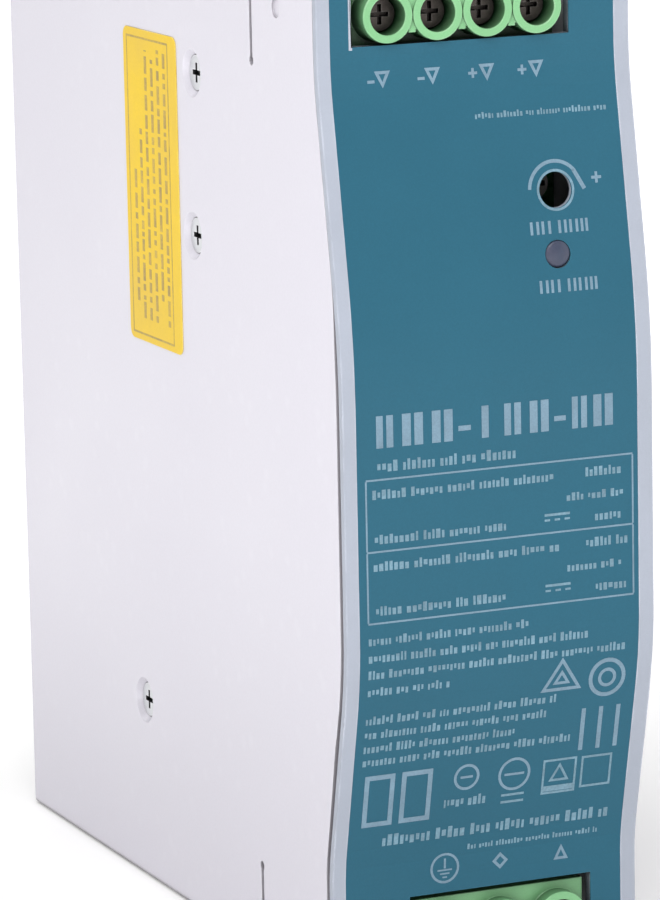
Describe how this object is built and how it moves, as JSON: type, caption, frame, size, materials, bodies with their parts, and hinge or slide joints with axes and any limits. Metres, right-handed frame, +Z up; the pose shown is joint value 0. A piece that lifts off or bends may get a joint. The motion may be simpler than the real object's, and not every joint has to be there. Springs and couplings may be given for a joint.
{
  "type": "din rail power supply",
  "caption": "Slim enclosed power supply for a 35 mm rail, with a curved front panel, screw terminals at top and bottom, a voltage adjuster, a status light and a spring latch.",
  "frame": {"origin": "middle of the bottom face, on the surface it stands on", "axes": "+Z up, the front panel faces -Y, the rail bracket faces +Y, +X is to the right seen from the front"},
  "size_m": [0.0401, 0.1134, 0.1252],
  "materials": {
    "case_metal": "fine satin passivated sheet",
    "panel_plastic": "fine moulded texture",
    "label_film": "printed polycarbonate film, fine matt grain",
    "label_yellow": "coated printed label",
    "terminal_green": "moulded polyamide",
    "terminal_screw_steel": "zinc plated, slightly dull",
    "clamp_brass": "nickel-flashed brass",
    "contact_tin": "tinned copper",
    "fastener_zinc": "zinc plated",
    "pot_blue": "moulded",
    "pot_rotor_white": "moulded",
    "led_lens": "diffused, unlit",
    "black_nylon": "moulded",
    "board_green": "solder mask",
    "heatsink_aluminium": "extruded",
    "thermal_pad_blue": "soft",
    "package_black": "moulded epoxy",
    "ferrite": "sintered",
    "bobbin_cream": "moulded",
    "winding_taped": "copper wire under yellow tape",
    "can_blue": "sleeved can",
    "can_green": "sleeved can",
    "choke_copper": "enamelled copper on a ring core",
    "film_capacitor_grey": "potted box",
    "fuse_glass": "clear tube, plated caps",
    "disc_blue": "dipped",
    "disc_green": "dipped",
    "insulation_film": "translucent film",
    "bracket_zinc": "zinc plated casting",
    "latch_steel": "zinc plated",
    "spring_steel": "drawn wire"
  },
  "bodies": {
    "case": {"chassis_shell": "case_metal", "side_cover": "case_metal", "cover_screws": "fastener_zinc", "front_panel": "panel_plastic", "front_label": "label_film", "side_label": "label_yellow", "output_terminal_body": "terminal_green", "output_contacts": "contact_tin", "input_terminal_body": "terminal_green", "input_contacts": "contact_tin", "adjust_pot_body": "pot_blue", "status_led": "led_lens", "led_holder": "black_nylon", "output_board": "board_green", "input_board": "board_green", "panel_screws": "fastener_zinc", "main_board": "board_green", "board_screws": "fastener_zinc", "primary_heatsink": "heatsink_aluminium", "secondary_heatsink": "heatsink_aluminium", "heatsink_screws": "fastener_zinc", "thermal_pads": "thermal_pad_blue", "switching_transistors": "package_black", "output_rectifiers": "package_black", "bridge_rectifier": "package_black", "transformer_core": "ferrite", "transformer_bobbin": "bobbin_cream", "transformer_winding": "winding_taped", "bulk_capacitor": "can_blue", "output_capacitors": "can_green", "output_choke": "choke_copper", "common_mode_choke": "choke_copper", "x_capacitor": "film_capacitor_grey", "fuse": "fuse_glass", "fuse_clips": "clamp_brass", "varistor": "disc_blue", "thermistor": "disc_green", "y_capacitors": "disc_blue", "control_board": "board_green", "insulation_sheet": "insulation_film", "rail_bracket": "bracket_zinc", "bracket_screws": "fastener_zinc", "latch_spring": "spring_steel"},
    "output_screw_1": {"output_screw_1": "terminal_screw_steel"},
    "output_cage_1": {"output_cage_1": "clamp_brass"},
    "output_screw_2": {"output_screw_2": "terminal_screw_steel"},
    "output_cage_2": {"output_cage_2": "clamp_brass"},
    "output_screw_3": {"output_screw_3": "terminal_screw_steel"},
    "output_cage_3": {"output_cage_3": "clamp_brass"},
    "output_screw_4": {"output_screw_4": "terminal_screw_steel"},
    "output_cage_4": {"output_cage_4": "clamp_brass"},
    "input_screw_1": {"input_screw_1": "terminal_screw_steel"},
    "input_cage_1": {"input_cage_1": "clamp_brass"},
    "input_screw_2": {"input_screw_2": "terminal_screw_steel"},
    "input_cage_2": {"input_cage_2": "clamp_brass"},
    "input_screw_3": {"input_screw_3": "terminal_screw_steel"},
    "input_cage_3": {"input_cage_3": "clamp_brass"},
    "adjuster": {"adjust_pot_rotor": "pot_rotor_white"},
    "rail_latch": {"rail_latch": "latch_steel"}
  },
  "joints": [
    {"name": "output_screw_1_turn", "type": "hinge", "parent": "case", "child": "output_screw_1", "pos_m": [-0.01123, -0.05, 0.1166], "axis": [0, 1, 0], "range_deg": [0, 1801]},
    {"name": "output_cage_1_clamp", "type": "slide", "parent": "case", "child": "output_cage_1", "axis": [0, -1, 0], "range_m": [0, 0.0025]},
    {"name": "output_screw_2_turn", "type": "hinge", "parent": "case", "child": "output_screw_2", "pos_m": [-0.00487, -0.05, 0.1166], "axis": [0, 1, 0], "range_deg": [0, 1801]},
    {"name": "output_cage_2_clamp", "type": "slide", "parent": "case", "child": "output_cage_2", "axis": [0, -1, 0], "range_m": [0, 0.0025]},
    {"name": "output_screw_3_turn", "type": "hinge", "parent": "case", "child": "output_screw_3", "pos_m": [0.00147, -0.05, 0.1166], "axis": [0, 1, 0], "range_deg": [0, 1801]},
    {"name": "output_cage_3_clamp", "type": "slide", "parent": "case", "child": "output_cage_3", "axis": [0, -1, 0], "range_m": [0, 0.0025]},
    {"name": "output_screw_4_turn", "type": "hinge", "parent": "case", "child": "output_screw_4", "pos_m": [0.00783, -0.05, 0.1166], "axis": [0, 1, 0], "range_deg": [0, 1801]},
    {"name": "output_cage_4_clamp", "type": "slide", "parent": "case", "child": "output_cage_4", "axis": [0, -1, 0], "range_m": [0, 0.0025]},
    {"name": "input_screw_1_turn", "type": "hinge", "parent": "case", "child": "input_screw_1", "pos_m": [-0.00562, -0.05, 0.0062], "axis": [0, 1, 0], "range_deg": [0, 2233]},
    {"name": "input_cage_1_clamp", "type": "slide", "parent": "case", "child": "input_cage_1", "axis": [0, -1, 0], "range_m": [0, 0.0031]},
    {"name": "input_screw_2_turn", "type": "hinge", "parent": "case", "child": "input_screw_2", "pos_m": [0.002, -0.05, 0.0062], "axis": [0, 1, 0], "range_deg": [0, 2233]},
    {"name": "input_cage_2_clamp", "type": "slide", "parent": "case", "child": "input_cage_2", "axis": [0, -1, 0], "range_m": [0, 0.0031]},
    {"name": "input_screw_3_turn", "type": "hinge", "parent": "case", "child": "input_screw_3", "pos_m": [0.00962, -0.05, 0.0062], "axis": [0, 1, 0], "range_deg": [0, 2233]},
    {"name": "input_cage_3_clamp", "type": "slide", "parent": "case", "child": "input_cage_3", "axis": [0, -1, 0], "range_m": [0, 0.0031]},
    {"name": "output_voltage_adjuster", "type": "hinge", "parent": "case", "child": "adjuster", "pos_m": [0.009, -0.045, 0.0952], "axis": [0, 1, 0], "range_deg": [-120, 120]},
    {"name": "rail_latch_slide", "type": "slide", "parent": "case", "child": "rail_latch", "axis": [0, 0, -1], "range_m": [0, 0.0045], "stiffness_N_per_m": 700, "springref_m": -0.006, "deforming": ["latch_spring"]}
  ],
  "couplings": [
    {"joint": "output_screw_1_turn", "follows": "output_cage_1_clamp", "rad_per_m": 12566},
    {"joint": "output_screw_2_turn", "follows": "output_cage_2_clamp", "rad_per_m": 12566},
    {"joint": "output_screw_3_turn", "follows": "output_cage_3_clamp", "rad_per_m": 12566},
    {"joint": "output_screw_4_turn", "follows": "output_cage_4_clamp", "rad_per_m": 12566},
    {"joint": "input_screw_1_turn", "follows": "input_cage_1_clamp", "rad_per_m": 12566},
    {"joint": "input_screw_2_turn", "follows": "input_cage_2_clamp", "rad_per_m": 12566},
    {"joint": "input_screw_3_turn", "follows": "input_cage_3_clamp", "rad_per_m": 12566}
  ]
}
